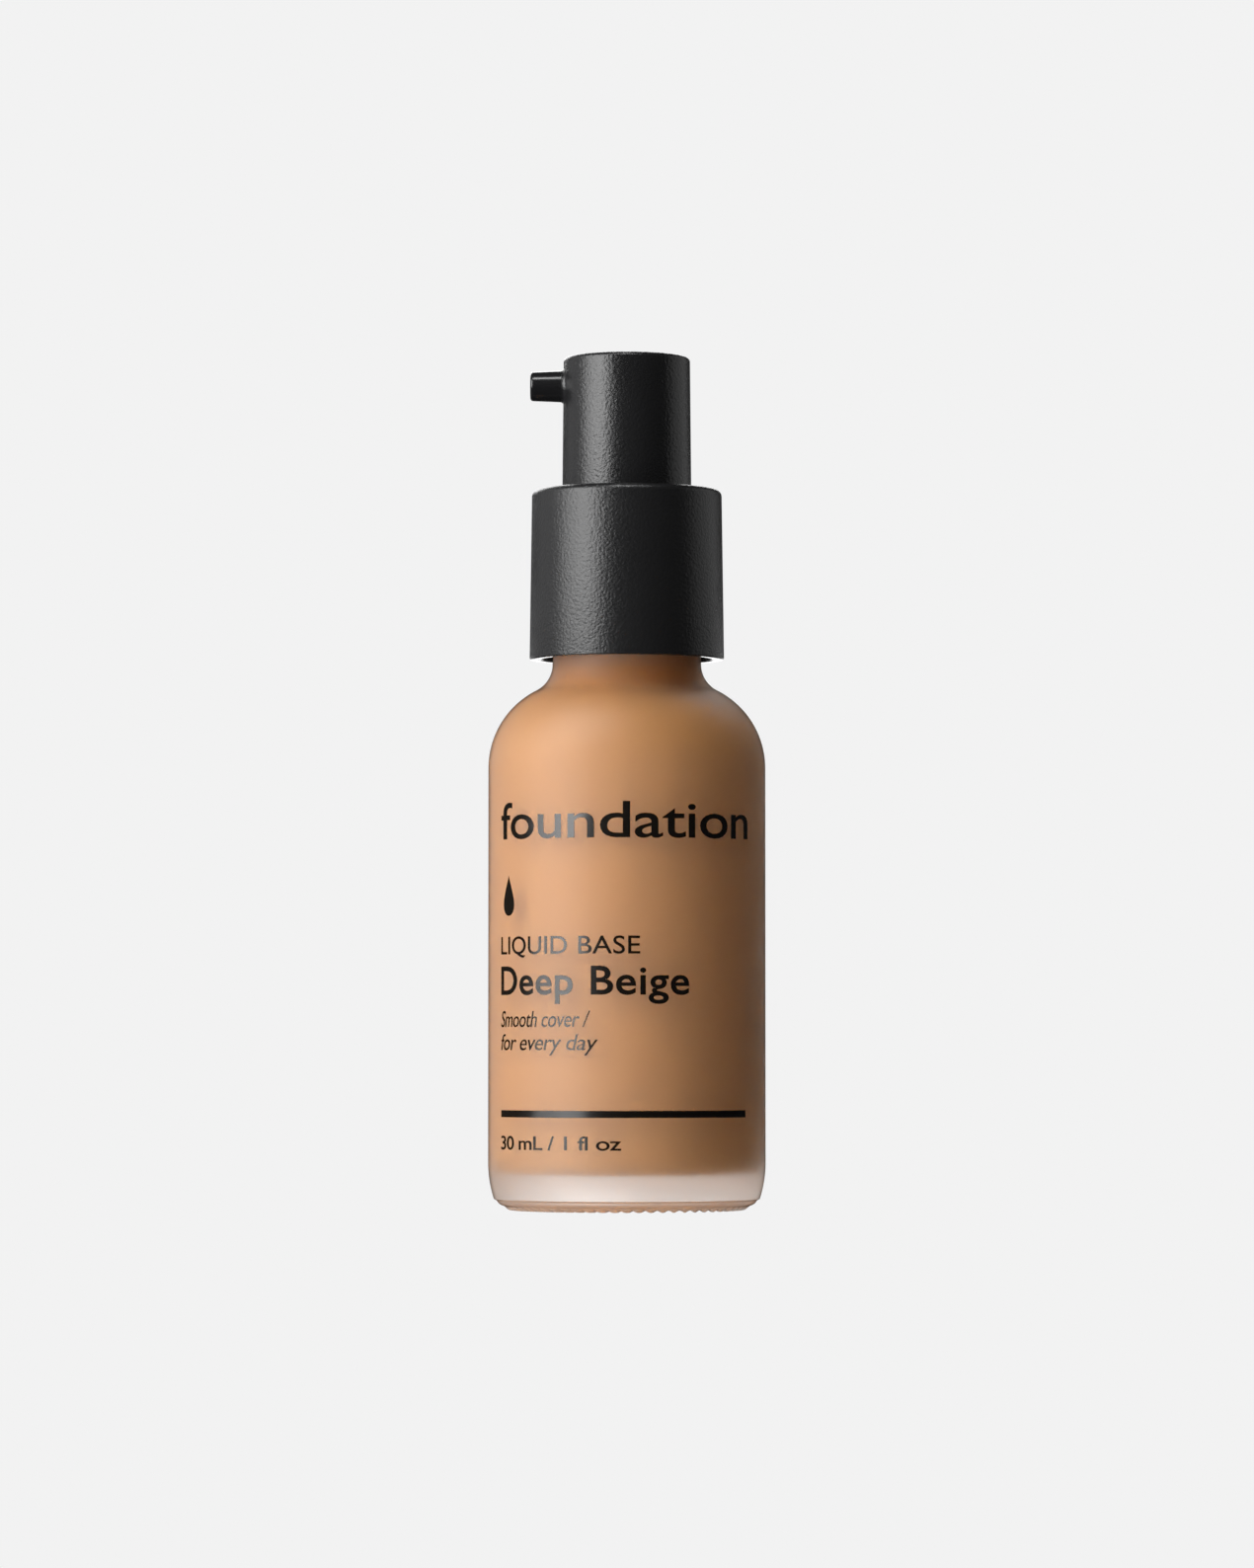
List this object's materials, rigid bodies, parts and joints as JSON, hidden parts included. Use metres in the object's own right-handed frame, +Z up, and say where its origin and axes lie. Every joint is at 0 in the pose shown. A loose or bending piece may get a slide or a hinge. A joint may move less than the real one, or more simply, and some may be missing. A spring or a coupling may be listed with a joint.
{
  "type": "foundation bottle",
  "caption": "Round frosted glass bottle of liquid foundation with a black screw collar and a push-down pump with a side nozzle.",
  "frame": {"origin": "bottle axis at the plane the bottle stands on", "axes": "+Z up the bottle's axis, the printed front faces -Y, the nozzle points to -X at rest"},
  "size_m": [0.0328, 0.0328, 0.1011],
  "materials": {
    "frosted_glass": "acid-frosted clear glass",
    "foundation": "opaque brown liquid",
    "collar_black": "fine matte black",
    "actuator_black": "fine matte black",
    "seal_white": "soft white polyethylene",
    "natural_plastic": "natural polypropylene",
    "tube_plastic": "translucent extruded tube",
    "spring_steel": "drawn stainless wire",
    "ball_steel": "polished stainless balls"
  },
  "bodies": {
    "bottle": {"glass_bottle": "frosted_glass", "foundation_fill": "foundation"},
    "pump_unit": {"neck_gasket": "seal_white", "pump_housing": "natural_plastic", "dip_tube": "tube_plastic", "ball_cage": "seal_white", "stem_retainer": "seal_white", "return_spring": "spring_steel"},
    "collar": {"closure": "collar_black"},
    "inlet_valve": {"inlet_ball": "ball_steel"},
    "stem_unit": {"pump_stem": "natural_plastic", "piston_rod": "natural_plastic"},
    "piston_unit": {"piston": "seal_white"},
    "outlet_valve": {"outlet_ball": "ball_steel"},
    "head": {"actuator_head": "actuator_black"}
  },
  "joints": [
    {"name": "pump_rise", "type": "slide", "parent": "bottle", "child": "pump_unit", "axis": [0, 0, 1], "range_m": [0, 0.0053]},
    {"name": "closure_twist", "type": "hinge", "parent": "pump_unit", "child": "collar", "pos_m": [0, 0, 0.06515], "axis": [0, 0, 1], "range_deg": [0, 450]},
    {"name": "pump_press", "type": "slide", "parent": "pump_unit", "child": "stem_unit", "axis": [0, 0, -1], "range_m": [0, 0.0048], "stiffness_N_per_m": 2000, "springref_m": -0.0025, "deforming": ["return_spring"]},
    {"name": "head_swivel", "type": "hinge", "parent": "stem_unit", "child": "head", "pos_m": [0, 0, 0.0845], "axis": [0, 0, 1], "continuous": true},
    {"name": "piston_float", "type": "slide", "parent": "stem_unit", "child": "piston_unit", "axis": [0, 0, 1], "range_m": [0, 0.0006]},
    {"name": "inlet_lift", "type": "slide", "parent": "pump_unit", "child": "inlet_valve", "axis": [0, 0, 1], "range_m": [0, 0.0008]},
    {"name": "outlet_lift", "type": "slide", "parent": "stem_unit", "child": "outlet_valve", "axis": [0, 0, 1], "range_m": [0, 0.0008]}
  ],
  "couplings": [
    {"joint": "pump_rise", "follows": "closure_twist", "m_per_rad": 0.00067376}
  ]
}
